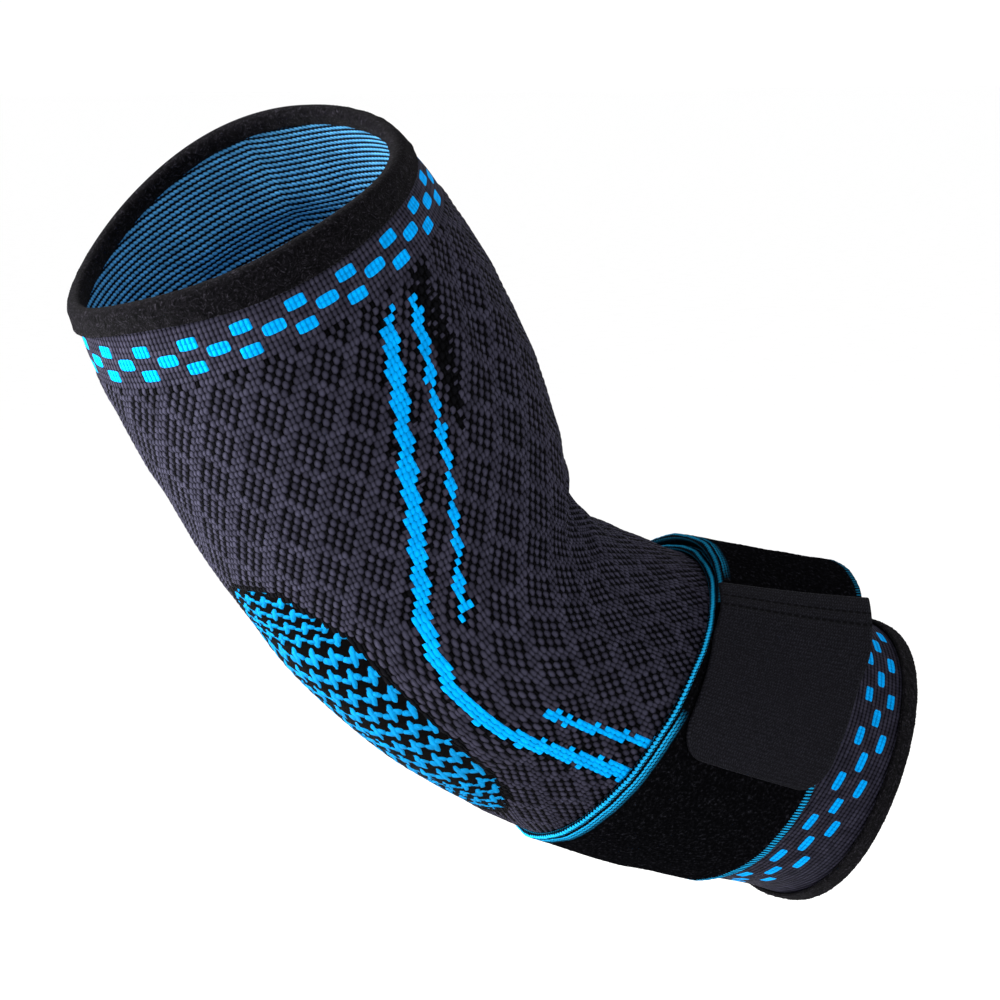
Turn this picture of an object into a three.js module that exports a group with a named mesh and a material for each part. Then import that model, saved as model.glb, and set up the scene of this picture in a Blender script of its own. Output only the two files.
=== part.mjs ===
// Knitted elbow brace in its worn form: a bent knitted sleeve, a soft binding folded over each end,
// and a strap of loop webbing that goes once round the forearm and closes with a hook tab.
// Millimetres. +Z is up, +X points along the forearm, and the arm bends in the XZ plane.
// The origin is where the axes of the upper arm and the forearm cross, inside the hollow.
import * as THREE from 'three';
import { ParametricGeometry } from 'three/addons/geometries/ParametricGeometry.js';
import { mergeVertices } from 'three/addons/utils/BufferGeometryUtils.js';

// How the arm bends: the upper arm leans back from upright, the forearm drops below level.
const upperArmLean = 33;
const forearmDrop = 21.7;
const bendRadius = 60;

// Lengths along the arm from the elbow to each edge of the knit.
const upperLength = 126;
const lowerLength = 142;
// The edges are saddle shaped: they dip at two opposite places, the turn says where.
const upperEdgeDip = 10;
const upperDipTurn = -45;
const lowerEdgeDip = 6;
const lowerDipTurn = -90;

// Radii that the knit follows.
const upperArmRadius = 50;
const elbowRadius = 43;
const wristRadius = 38;

// Wall of the knit: the plain welt bands at the ends are thinner than the patterned body.
const bodyWall = 2.2;
const weltWall = 1.8;
const upperWeltLength = 20;
const lowerWeltLength = 18;
const weltStep = 3;

// Bindings: a soft elastic folded over each edge. Its outer hem is a little rounded.
const bindingThickness = 1.3;
const hemRound = 0.4;
const upperBindingLeg = 7.5;
const lowerBindingLeg = 5.5;

// Strap of loop webbing. It sits strapToEdge from the lower edge of the knit and leans by strapSlant,
// most at strapSlantTurn. It starts at the angle firstEnd and overlaps its start by overlapAngle.
// Its second layer climbs onto the first within riseAngle. Round looseTurn it stands off the arm: the
// second layer by looseLift, and both by up to looseFlare at the wrist side.
const strapWidth = 50;
const strapToEdge = 32;
const strapSlant = 11;
const strapSlantTurn = 45;
const webbingThickness = 1.8;
const firstEnd = 24;
const overlapAngle = 80;
const riseAngle = 24;
const riseClear = 3;
const looseTurn = -20;
const looseLift = 1.2;
const looseFlare = 7.6;
const looseFocus = 3;

// Hook tab: wider than the webbing by tabOverhang, sewn over the end of the strap along tabSeamWidth,
// then dropping onto the first layer within dropAngle. It is turned by tabSkew towards the wrist.
const tabThickness = 1.6;
const tabOverhang = 2;
const tabLength = 53;
const tabSkew = 8;
const tabSkewStart = 0.05;
const tabSeamWidth = 9;
const tabCornerRadius = 9;
const dropClear = 2;
const dropAngle = 14;

// Clearance between pieces that touch.
const gap = 0.3;

// Sections of the sleeve. at: share of the upper length (minus) or lower length (plus) from the elbow.
// front, back, side: half sizes towards the crook, the elbow point and each side, as shares of radius.
const sections = [
  { at: -1.0, radius: upperArmRadius, front: 0.92, back: 0.89, side: 0.95 },
  { at: -0.8, radius: upperArmRadius, front: 1.04, back: 0.97, side: 0.99 },
  { at: -0.5, radius: upperArmRadius, front: 1.1, back: 0.97, side: 0.99 },
  { at: -0.25, radius: upperArmRadius, front: 1.01, back: 0.94, side: 0.95 },
  { at: 0.0, radius: elbowRadius, front: 0.97, back: 1.02, side: 1.05 },
  { at: 0.25, radius: elbowRadius, front: 0.83, back: 1.1, side: 1.0 },
  { at: 0.5, radius: wristRadius, front: 0.96, back: 1.24, side: 1.1 },
  { at: 0.75, radius: wristRadius, front: 1.0, back: 1.14, side: 1.05 },
  { at: 1.0, radius: wristRadius, front: 1.05, back: 1.05, side: 0.97 },
];

// Folds and dents: straight grooves on the unrolled knit, from one point to another.
// at: share of length as above; turn: degrees round the arm from the crook; depth and width in share
// of the elbow radius.
const folds = [
  { name: 'crook crease', at: -0.03, turn: -62, endAt: -0.03, endTurn: 62, depth: 0.06, width: 0.12 },
  { name: 'upper crook fold', at: -0.17, turn: -48, endAt: -0.13, endTurn: 40, depth: 0.03, width: 0.1 },
  { name: 'lower crook fold', at: 0.19, turn: -40, endAt: 0.2, endTurn: 46, depth: 0.03, width: 0.1 },
  { name: 'outer arm dent', at: -0.76, turn: -58, endAt: -0.42, endTurn: -66, depth: 0.035, width: 0.1 },
  { name: 'inner arm dent', at: -0.72, turn: 60, endAt: -0.45, endTurn: 66, depth: 0.035, width: 0.1 },
];

// A fold fades towards its two ends: foldEndShare is the least share of its run that counts.
const foldEndShare = 0.02;

// Steps of the meshes.
const aroundSteps = 40;
const outerSteps = 42;
const innerSteps = 26;
const roundSteps = 4;
const strapStepDegrees = 6;
const strapAcross = 3;
const tabSteps = 18;

const radians = THREE.MathUtils.degToRad;
const mix = THREE.MathUtils.lerp;
const smoothstep = THREE.MathUtils.smoothstep;

// Half size at a share of the length: a cubic through the section rows.
function halfSize(at, column) {
  const last = sections.length - 2;
  let row = 0;
  while (row < last && at > sections[row + 1].at) row += 1;
  const size = (index) => {
    const section = sections[THREE.MathUtils.clamp(index, 0, last + 1)];
    return section.radius * section[column];
  };
  const place = (index) => sections[THREE.MathUtils.clamp(index, 0, last + 1)].at;
  const span = place(row + 1) - place(row);
  const slope = (index) => (size(index + 1) - size(index - 1)) / (place(index + 1) - place(index - 1));
  const t = (at - place(row)) / span;
  const start = size(row);
  const end = size(row + 1);
  const startRise = slope(row) * span;
  const endRise = slope(row + 1) * span;
  const bend = 3 * (end - start) - 2 * startRise - endRise;
  const twist = 2 * (start - end) + startRise + endRise;
  return start + startRise * t + bend * t * t + twist * t * t * t;
}

// Middle line of the arm: straight, an arc round the elbow, straight. distance is measured from the
// elbow, and the result holds the point in the XZ plane and the direction of travel.
function middleLine(distance) {
  const startAngle = radians(upperArmLean) - Math.PI / 2;
  const endAngle = -radians(forearmDrop);
  const halfTurn = (endAngle - startAngle) / 2;
  const halfArc = bendRadius * halfTurn;
  const tangent = bendRadius * Math.tan(halfTurn);
  if (distance < -halfArc) {
    const back = distance + halfArc - tangent;
    return { x: Math.cos(startAngle) * back, z: Math.sin(startAngle) * back, angle: startAngle };
  }
  if (distance > halfArc) {
    const along = distance - halfArc + tangent;
    return { x: Math.cos(endAngle) * along, z: Math.sin(endAngle) * along, angle: endAngle };
  }
  const angle = startAngle + (distance + halfArc) / bendRadius;
  const centreX = -Math.cos(startAngle) * tangent - Math.sin(startAngle) * bendRadius;
  const centreZ = -Math.sin(startAngle) * tangent + Math.cos(startAngle) * bendRadius;
  return {
    x: centreX + bendRadius * Math.sin(angle),
    z: centreZ - bendRadius * Math.cos(angle),
    angle,
  };
}

// Depth of the folds at a point of the unrolled knit.
function foldDepth(distance, turn) {
  let depth = 0;
  for (const fold of folds) {
    const length = (share) => share * (share < 0 ? upperLength : lowerLength);
    const start = new THREE.Vector2(length(fold.at), radians(fold.turn) * elbowRadius);
    const end = new THREE.Vector2(length(fold.endAt), radians(fold.endTurn) * elbowRadius);
    const point = new THREE.Vector2(distance, turn * elbowRadius);
    const run = end.clone().sub(start);
    const share = THREE.MathUtils.clamp(point.clone().sub(start).dot(run) / run.lengthSq(), 0, 1);
    const away = point.distanceTo(start.clone().addScaledVector(run, share));
    const inside = THREE.MathUtils.clamp(share, foldEndShare, 1 - foldEndShare);
    const fade = Math.sqrt(Math.sin(Math.PI * inside));
    depth += fold.depth * elbowRadius * fade * Math.exp(-((away / (fold.width * elbowRadius)) ** 2));
  }
  return depth;
}

// Distance from the elbow to an edge of the knit at an angle round the arm.
function edgeDistance(turn, lower) {
  if (lower) return lowerLength - lowerEdgeDip * Math.cos(turn - radians(lowerDipTurn)) ** 2;
  return upperEdgeDip * Math.cos(turn - radians(upperDipTurn)) ** 2 - upperLength;
}

// A point of the knit's outer face, moved out by an offset. distance is along the arm from the elbow,
// turn is the angle round the arm from the crook, in radians, positive towards +Y.
function armPoint(distance, turn, offset, target) {
  const at = THREE.MathUtils.clamp(distance / (distance < 0 ? upperLength : lowerLength), -1, 1);
  const line = middleLine(distance);
  const facing = Math.cos(turn);
  const depth = facing * (halfSize(at, facing > 0 ? 'front' : 'back') + offset);
  const across = Math.sin(turn) * (halfSize(at, 'side') + offset);
  return target.set(line.x - Math.sin(line.angle) * depth, across, line.z + Math.cos(line.angle) * depth);
}

// Wall of the knit at a distance from its nearer edge.
function wallAt(fromUpper, fromLower) {
  const upper = smoothstep(fromUpper, upperWeltLength - weltStep, upperWeltLength);
  const lower = smoothstep(fromLower, lowerWeltLength - weltStep, lowerWeltLength);
  return mix(weltWall, bodyWall, Math.min(upper, lower));
}

// A closed skin from rows of a section carried round the arm. Each row says where its point lies at
// a given turn, and the rows run once round the section.
function ringSolid(rows) {
  const geometry = new ParametricGeometry((u, v, target) => {
    const row = rows[Math.round(v * rows.length) % rows.length];
    const turn = u === 1 ? 0 : u * Math.PI * 2;
    row(turn > Math.PI ? turn - 2 * Math.PI : turn, target);
  }, aroundSteps, rows.length);
  return closeMesh(geometry);
}

// Merges the shared corners so that a skin is one closed mesh.
function closeMesh(geometry) {
  geometry.deleteAttribute('normal');
  geometry.deleteAttribute('uv');
  const closed = mergeVertices(geometry, 1e-4);
  closed.computeVertexNormals();
  return closed;
}

// Sleeve section: down the outer face, round the lower edge, up the inner face, round the upper edge.
// The welt is thinner than the body, so the outer face steps in by the difference at both ends.
function sleeveRows() {
  const rows = [];
  const place = (turn, share) => mix(edgeDistance(turn, false), edgeDistance(turn, true), share);
  const face = (share, inner) => (turn, target) => {
    const distance = place(turn, share);
    const wall = wallAt(distance - edgeDistance(turn, false), edgeDistance(turn, true) - distance);
    const offset = wall - bodyWall - foldDepth(distance, turn);
    armPoint(distance, turn, inner ? offset - wall : offset, target);
  };
  const edge = (lower, step) => (turn, target) => {
    const angle = Math.PI * step / roundSteps;
    const middle = weltWall - bodyWall - weltWall / 2;
    const sign = lower ? 1 : -1;
    const beyond = sign * Math.sin(angle) * weltWall / 2;
    const side = sign * Math.cos(angle) * weltWall / 2;
    armPoint(edgeDistance(turn, lower) + beyond, turn, middle + side, target);
  };
  for (let step = 0; step <= outerSteps; step += 1) rows.push(face(step / outerSteps, false));
  for (let step = 1; step < roundSteps; step += 1) rows.push(edge(true, step));
  for (let step = innerSteps; step >= 0; step -= 1) rows.push(face(step / innerSteps, true));
  for (let step = 1; step < roundSteps; step += 1) rows.push(edge(false, step));
  return rows.reverse();
}

// Binding section: a U folded over one edge of the knit, gap clear of it on both faces.
function bindingRows(lower, leg) {
  const inward = lower ? -1 : 1;
  const outerFace = weltWall - bodyWall;
  const middle = outerFace - weltWall / 2;
  const near = weltWall / 2 + gap;
  const far = near + bindingThickness;
  const at = (along, out) => (turn, target) => {
    armPoint(edgeDistance(turn, lower) + inward * along, turn, middle + out, target);
  };
  const section = [];
  section.push([leg, near]);
  section.push([leg + bindingThickness * hemRound, (near + far) / 2]);
  section.push([leg, far]);
  section.push([leg / 2, far]);
  const arcSteps = roundSteps + 1;
  for (let step = 0; step <= arcSteps; step += 1) {
    const angle = Math.PI * step / arcSteps;
    section.push([-far * Math.sin(angle), far * Math.cos(angle)]);
  }
  section.push([leg, -far], [leg, -near]);
  for (let step = roundSteps; step >= 0; step -= 1) {
    const angle = Math.PI * step / roundSteps;
    section.push([-near * Math.sin(angle), near * Math.cos(angle)]);
  }
  const rows = section.map(([along, out]) => at(along, out));
  return lower ? rows.reverse() : rows;
}

// A closed slab between an outer and an inner face, each a grid of points, with walls round its rim.
function slabSolid(pointAt, lengthSteps, widthSteps) {
  const positions = [];
  const indices = [];
  const point = new THREE.Vector3();
  const columns = widthSteps + 1;
  const faceSize = (lengthSteps + 1) * columns;
  for (const outer of [1, 0]) {
    for (let i = 0; i <= lengthSteps; i += 1) {
      for (let j = 0; j <= widthSteps; j += 1) {
        pointAt(i / lengthSteps, j / widthSteps, outer, point);
        positions.push(point.x, point.y, point.z);
      }
    }
  }
  const quad = (a, b, c, d) => indices.push(a, b, c, a, c, d);
  const index = (i, j, outer) => (outer ? 0 : faceSize) + i * columns + j;
  for (let i = 0; i < lengthSteps; i += 1) {
    for (let j = 0; j < widthSteps; j += 1) {
      quad(index(i, j, 1), index(i + 1, j, 1), index(i + 1, j + 1, 1), index(i, j + 1, 1));
      quad(index(i, j, 0), index(i, j + 1, 0), index(i + 1, j + 1, 0), index(i + 1, j, 0));
    }
    const side = widthSteps;
    quad(index(i, 0, 1), index(i, 0, 0), index(i + 1, 0, 0), index(i + 1, 0, 1));
    quad(index(i, side, 1), index(i + 1, side, 1), index(i + 1, side, 0), index(i, side, 0));
  }
  for (let j = 0; j < widthSteps; j += 1) {
    const end = lengthSteps;
    quad(index(0, j, 1), index(0, j + 1, 1), index(0, j + 1, 0), index(0, j, 0));
    quad(index(end, j, 1), index(end, j, 0), index(end, j + 1, 0), index(end, j + 1, 1));
  }
  const geometry = new THREE.BufferGeometry();
  geometry.setAttribute('position', new THREE.Float32BufferAttribute(positions, 3));
  geometry.setIndex(indices);
  geometry.computeVertexNormals();
  return geometry;
}

// The strap starts under itself, goes over the top, down the near side, under the arm and over its own
// start, so its second layer lies on the first. travel is the angle gone, in degrees.
const fullTurn = 360;
const layer = webbingThickness + gap;
const strapTravel = fullTurn + overlapAngle;
const strapMiddle = lowerLength - strapToEdge - strapWidth / 2;

// Height of the webbing's inner face over the knit, at a share across the width from the elbow side.
function strapLift(travel, across) {
  const turn = radians(firstEnd - travel);
  const second = smoothstep(travel, fullTurn - riseAngle, fullTurn - riseClear);
  const top = Math.max(0, Math.cos(turn - radians(looseTurn))) ** looseFocus;
  const slack = looseFlare * across * top;
  return gap + layer * second + slack + looseLift * top * second;
}

// A point of the strap's path: across runs from the elbow side, 0, to the wrist side, 1.
function strapPoint(travel, across, height, width, skew, target) {
  const turn = radians(firstEnd - travel);
  const middle = strapMiddle + strapSlant * Math.cos(turn - radians(strapSlantTurn));
  armPoint(middle + skew + (across - 0.5) * width, turn, height, target);
}

function strapSolid() {
  const steps = Math.round(strapTravel / strapStepDegrees);
  return slabSolid((u, v, outer, target) => {
    const travel = u * strapTravel;
    strapPoint(travel, v, strapLift(travel, v) + outer * webbingThickness, strapWidth, 0, target);
  }, steps, strapAcross);
}

// The hook tab is sewn over the end of the strap and lies on the first layer beyond it.
// Its free corners are round.
function tabSolid() {
  const seatRadius = wristRadius + 2 * layer;
  const start = strapTravel - THREE.MathUtils.radToDeg(tabSeamWidth / seatRadius);
  const sweep = THREE.MathUtils.radToDeg(tabLength / seatRadius);
  const tabWidth = strapWidth + tabOverhang;
  return slabSolid((u, v, outer, target) => {
    const travel = start + (u - tabSkew * (v - 0.5) * tabWidth / tabLength ** 2) * sweep;
    const drop = smoothstep(travel, strapTravel + dropClear, strapTravel + dropClear + dropAngle);
    const beyond = Math.max(0, tabLength * u - (tabLength - tabCornerRadius));
    const trim = tabCornerRadius - Math.sqrt(Math.max(0, tabCornerRadius ** 2 - beyond ** 2));
    const width = tabWidth - 2 * trim;
    const overStrap = strapLift(travel, v) + layer;
    const onStrap = strapLift(travel - fullTurn, v) + layer;
    const height = mix(overStrap, onStrap, drop) + outer * tabThickness;
    strapPoint(travel, v, height, width, tabSkew * (u - tabSkewStart), target);
  }, tabSteps, strapAcross);
}

function mesh(name, geometry, color, roughness) {
  const material = new THREE.MeshStandardMaterial({ color, roughness, metalness: 0 });
  const piece = new THREE.Mesh(geometry, material);
  piece.name = name;
  return piece;
}

const brace = new THREE.Group();
brace.add(mesh('knit_sleeve', ringSolid(sleeveRows()), 0x3c3a44, 0.85));
brace.add(mesh('upper_cuff_binding', ringSolid(bindingRows(false, upperBindingLeg)), 0x1a191c, 0.95));
brace.add(mesh('lower_cuff_binding', ringSolid(bindingRows(true, lowerBindingLeg)), 0x1a191c, 0.95));
brace.add(mesh('forearm_strap', strapSolid(), 0x0c0c0f, 0.9));
brace.add(mesh('hook_tab', tabSolid(), 0x1b1b1e, 0.7));

export default brace;
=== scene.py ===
import bpy
import bmesh
import numpy as np
from mathutils import Matrix, Vector


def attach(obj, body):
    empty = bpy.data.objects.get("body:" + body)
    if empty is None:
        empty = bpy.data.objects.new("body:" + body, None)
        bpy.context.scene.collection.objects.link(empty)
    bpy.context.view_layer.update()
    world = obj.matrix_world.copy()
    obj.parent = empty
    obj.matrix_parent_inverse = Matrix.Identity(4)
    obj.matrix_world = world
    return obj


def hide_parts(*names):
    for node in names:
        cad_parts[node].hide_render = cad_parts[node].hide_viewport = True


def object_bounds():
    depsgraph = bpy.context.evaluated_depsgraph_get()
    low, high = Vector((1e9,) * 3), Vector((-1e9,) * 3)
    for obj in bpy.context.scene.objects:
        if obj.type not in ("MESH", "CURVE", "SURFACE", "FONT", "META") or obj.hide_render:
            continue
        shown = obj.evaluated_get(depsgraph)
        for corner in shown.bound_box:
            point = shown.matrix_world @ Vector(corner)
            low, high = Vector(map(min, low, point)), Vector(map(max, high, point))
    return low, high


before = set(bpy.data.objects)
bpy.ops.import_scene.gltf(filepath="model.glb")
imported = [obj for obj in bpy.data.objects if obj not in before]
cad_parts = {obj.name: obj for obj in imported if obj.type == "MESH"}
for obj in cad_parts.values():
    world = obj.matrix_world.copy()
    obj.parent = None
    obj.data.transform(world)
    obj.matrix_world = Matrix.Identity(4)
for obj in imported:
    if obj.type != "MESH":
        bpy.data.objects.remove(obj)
cadLow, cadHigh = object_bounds()
print("frame loaded")

# The arm's form, as the CAD part has it. distance runs along the arm from the elbow, minus towards the
# shoulder; turn is the angle round the arm from the crook, in radians, plus towards +Y.
armForm = {
    "upperLean": 33, "forearmDrop": 21.7, "bendRadius": 60,
    "upperLength": 126, "lowerLength": 142,
    "upperEdgeDip": 9, "upperDipTurn": -45, "nearDip": 4.5, "nearDipTurn": -130, "nearDipFocus": 4,
    "lowerEdgeDip": 6, "lowerDipTurn": -90,
    "foldRadius": 43,
}

# Share of the length, radius, then half sizes towards the crook, the elbow point and the sides
sectionTable = np.array([
    (-1.0, 50, 0.92, 0.89, 0.95),
    (-0.8, 50, 1.04, 0.97, 0.99),
    (-0.5, 50, 1.1, 0.97, 0.99),
    (-0.25, 50, 1.01, 0.94, 0.95),
    (0.0, 43, 0.97, 1.02, 1.05),
    (0.25, 43, 0.83, 1.1, 1.0),
    (0.5, 38, 0.96, 1.24, 1.1),
    (0.75, 38, 1.0, 1.14, 1.05),
    (1.0, 38, 1.05, 1.05, 0.97),
])

# Grooves from one place to another: share and turn of each end, then depth and width in fold radii
foldTable = (
    (-0.03, -62, -0.03, 62, 0.06, 0.12),    # crease in the crook
    (-0.17, -48, -0.13, 40, 0.03, 0.1),
    (0.19, -40, 0.2, 46, 0.03, 0.1),
    (-0.76, -58, -0.42, -66, 0.035, 0.1),   # dents along the upper arm
    (-0.72, 60, -0.45, 66, 0.035, 0.1),
)


def smoothStep(value, low, high):
    # 0 below low, 1 above high, and 3t^2 - 2t^3 between them
    t = np.clip((value - low) / (high - low), 0, 1)
    return t * t * (3 - 2 * t)


def halfSize(share, column):
    # Cubic through the rows of the section table, its slope at a row taken from the rows either side
    place, size = sectionTable[:, 0], sectionTable[:, 1] * sectionTable[:, column]
    row = np.arange(len(place))
    before, after = np.maximum(row - 1, 0), np.minimum(row + 1, len(place) - 1)
    slope = (size[after] - size[before]) / (place[after] - place[before])
    row = np.clip(np.searchsorted(place, share, side="right") - 1, 0, len(place) - 2)
    span = place[row + 1] - place[row]
    t = (share - place[row]) / span
    start, end = size[row], size[row + 1]
    rise, fall = slope[row] * span, slope[row + 1] * span
    return (start + rise * t + (3 * (end - start) - 2 * rise - fall) * t**2
            + (2 * (start - end) + rise + fall) * t**3)


def lobe(turn, middle, focus):
    # The cosine of the angle from its middle, where it is above 0, to a power
    return np.maximum(0, np.cos(turn - np.radians(middle))) ** focus


def middleLine(distance):
    # Straight, an arc of the bend radius round the elbow, straight: x, z and the direction of travel
    first, last = np.radians(armForm["upperLean"] - 90), -np.radians(armForm["forearmDrop"])
    radius, half = armForm["bendRadius"], (last - first) / 2
    angle = np.clip(first + distance / radius + half, first, last)
    reach = radius * np.tan(half)
    centreX = -np.cos(first) * reach - np.sin(first) * radius
    centreZ = -np.sin(first) * reach + np.cos(first) * radius
    beyond = distance - np.clip(distance, -radius * half, radius * half)
    return (centreX + radius * np.sin(angle) + np.cos(angle) * beyond,
            centreZ - radius * np.cos(angle) + np.sin(angle) * beyond, angle)


def armPoint(distance, turn, offset):
    # Ellipse of the half sizes round the middle line, moved out by the offset
    length = np.where(distance < 0, armForm["upperLength"], armForm["lowerLength"])
    share = np.clip(distance / length, -1, 1)
    x, z, angle = middleLine(distance)
    facing = np.cos(turn)
    depth = facing * (np.where(facing > 0, halfSize(share, 2), halfSize(share, 3)) + offset)
    across = np.sin(turn) * (halfSize(share, 4) + offset)
    return np.stack([x - np.sin(angle) * depth, across, z + np.cos(angle) * depth], -1)


def foldDepth(distance, turn):
    # Each groove is a bell of its width about its line, and fades towards its two ends
    radius, depth = armForm["foldRadius"], 0 * distance * turn
    for at, first, endAt, last, deep, wide in foldTable:
        length = np.where(np.array([at, endAt]) < 0, armForm["upperLength"], armForm["lowerLength"])
        ends = np.array([at, endAt]) * length
        turns = np.radians([first, last]) * radius
        run = np.array([ends[1] - ends[0], turns[1] - turns[0]])
        share = ((distance - ends[0]) * run[0] + (turn * radius - turns[0]) * run[1]) / (run @ run)
        share = np.clip(share, 0, 1)
        away = np.hypot(distance - ends[0] - share * run[0], turn * radius - turns[0] - share * run[1])
        fade = np.sqrt(np.sin(np.pi * np.clip(share, 0.02, 0.98)))
        depth = depth + deep * radius * fade * np.exp(-((away / (wide * radius)) ** 2))
    return depth


def edgeDistance(turn, lower):
    # The edges of the knit dip at two opposite places, as a cosine squared; the upper one also sags on
    # the near side
    if lower:
        dip = armForm["lowerEdgeDip"] * np.cos(turn - np.radians(armForm["lowerDipTurn"])) ** 2
        return armForm["lowerLength"] - dip
    dip = armForm["upperEdgeDip"] * np.cos(turn - np.radians(armForm["upperDipTurn"])) ** 2
    sag = lobe(turn, armForm["nearDipTurn"], armForm["nearDipFocus"])
    return dip + armForm["nearDip"] * sag - armForm["upperLength"]


def softNoise(a, b, seed, size):
    # Smooth random field: a few sine waves of random direction and phase, about size long, within +-1
    dice = np.random.default_rng(seed)
    total = 0 * a * b
    for _ in range(7):
        way, phase, pitch = dice.uniform(0, 2 * np.pi, 2).tolist() + [dice.uniform(0.6, 1.6) * size]
        total = total + np.sin((a * np.cos(way) + b * np.sin(way)) * 2 * np.pi / pitch + phase)
    return total / 7**0.5


def meshObject(name, points, quads, body="root"):
    # A mesh from a list of points in millimetres and rows of four corner numbers
    mesh = bpy.data.meshes.new(name)
    mesh.vertices.add(len(points))
    mesh.vertices.foreach_set("co", (np.asarray(points, float) / 1000).ravel())
    mesh.loops.add(quads.size)
    mesh.polygons.add(len(quads))
    mesh.loops.foreach_set("vertex_index", quads.ravel())
    mesh.polygons.foreach_set("loop_start", np.arange(len(quads)) * 4)
    mesh.update(calc_edges=True)
    mesh.polygons.foreach_set("use_smooth", np.ones(len(quads), bool))
    mesh.validate()
    piece = bpy.data.objects.new(name, mesh)
    bpy.context.scene.collection.objects.link(piece)
    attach(piece, body)
    return piece


def setLayer(piece, name, values, domain="POINT"):
    # Keeps a vector, or on faces a number, to be read by the material
    kind, field = ("FLOAT", "value") if domain == "FACE" else ("FLOAT_VECTOR", "vector")
    layer = piece.data.attributes.new(name, kind, domain)
    layer.data.foreach_set(field, np.asarray(values, np.float32).ravel())


cornerSteps = (0, 0), (1, 0), (1, 1), (0, 1)      # row and column of a square's corners


def gridQuads(rows, columns, closeRows, closeColumns):
    # Corner numbers of the squares of a grid whose point (row, column) is number row * columns + column
    r = np.arange(rows if closeRows else rows - 1)[:, None]
    c = np.arange(columns if closeColumns else columns - 1)[None, :]
    nextR, nextC = (r + 1) % rows, (c + 1) % columns
    corners = [r * columns + c, nextR * columns + c, nextR * columns + nextC, r * columns + nextC]
    return np.stack(corners, -1).reshape(-1, 4)


def faceOut(piece):
    # Merges the points that share a place and turns every face outwards
    work = bmesh.new()
    work.from_mesh(piece.data)
    bmesh.ops.remove_doubles(work, verts=work.verts, dist=1e-6)
    bmesh.ops.recalc_face_normals(work, faces=work.faces)
    work.to_mesh(piece.data)
    work.free()
    return piece


def linearColor(hexText):
    # sRGB hex to the linear colour that Blender's sockets take
    parts = np.array([int(hexText[i:i + 2], 16) for i in (1, 3, 5)]) / 255
    linear = np.where(parts <= 0.04045, parts / 12.92, ((parts + 0.055) / 1.055) ** 2.4)
    return (*linear.tolist(), 1.0)


def addNode(tree, kind, inputs=None, **settings):
    # Adds a node with its settings; inputs, by name or number, take a value or another node's output.
    # Gives back the node's first output.
    node = tree.nodes.new("ShaderNode" + kind)
    for name, value in settings.items():
        setattr(node, name, value)
    for key, value in (inputs or {}).items():
        if isinstance(value, bpy.types.NodeSocket):
            tree.links.new(value, node.inputs[key])
        else:
            node.inputs[key].default_value = value
    return node.outputs[0] if node.outputs else node


def calc(tree, operation, *values, **settings):
    # A Math node on one to three values
    return addNode(tree, "Math", dict(enumerate(values)), operation=operation, **settings)


def calcVector(tree, operation, *values):
    # The same for vectors
    return addNode(tree, "VectorMath", dict(enumerate(values)), operation=operation)


def scaleRange(tree, value, low, high, newLow=0.0, newHigh=1.0):
    # Carries the range low to high over to the new one, and holds its ends beyond it
    return addNode(tree, "MapRange", {0: value, 1: low, 2: high, 3: newLow, 4: newHigh})


def mixValue(tree, share, low, high):
    # low where the share is 0, high where it is 1
    return addNode(tree, "Mix", {"Factor": share, 2: low, 3: high}, data_type="FLOAT")


def mixColor(tree, share, low, high, blend="MIX"):
    # The same for colours
    mixed = addNode(tree, "Mix", {"Factor": share, 6: low, 7: high}, data_type="RGBA", blend_type=blend)
    return mixed.node.outputs[2]


def dotProduct(tree, first, second):
    # The sum of the products of the vectors' parts
    return calcVector(tree, "DOT_PRODUCT", first, second).node.outputs["Value"]


def joinParts(tree, first, second):
    return addNode(tree, "CombineXYZ", {0: first, 1: second})


def splitParts(tree, vector):
    return addNode(tree, "SeparateXYZ", {0: vector}).node.outputs


def objectPlace(tree):
    # Place in metres
    return addNode(tree, "TexCoord").node.outputs["Object"]


def noiseAt(tree, place, scale, detail, roughness=0.5):
    # As many patches to a metre as the scale says
    return addNode(tree, "TexNoise", {"Vector": place, "Scale": scale, "Detail": detail,
                                      "Roughness": roughness})


def readLayer(tree, name, output="Vector"):
    # A layer of the mesh by its name
    return addNode(tree, "Attribute", attribute_name=name).node.outputs[output]


def addBump(tree, height, distance, strength):
    # The distance, in metres, is the depth of a height of 1
    return addNode(tree, "Bump", {"Height": height, "Distance": distance, "Strength": strength})


def addSurface(tree, color, roughness, specular, sockets):
    # The shader and the output, with constants on the shader's own sockets
    surface = addNode(tree, "BsdfPrincipled", {"Base Color": color, "Roughness": roughness,
                                               "Specular IOR Level": specular, **sockets})
    addNode(tree, "OutputMaterial", {"Surface": surface})


def startMaterial(name):
    # An empty material and its node tree
    material = bpy.data.materials.new(name)
    material.use_nodes = True
    material.node_tree.nodes.clear()
    return material, material.node_tree


def rampColor(tree, value, stops, interpolation="LINEAR"):
    # A colour ramp with stops of (place, hex or grey number)
    output = addNode(tree, "ValToRGB", {0: value})
    ramp = output.node.color_ramp
    ramp.interpolation = interpolation
    while len(ramp.elements) < len(stops):
        ramp.elements.new(1.0)
    for element, (place, shade) in zip(ramp.elements, stops):
        element.position = place
        element.color = linearColor(shade) if isinstance(shade, str) else (shade, shade, shade, 1)
    return output


# Knitted sleeve

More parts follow.
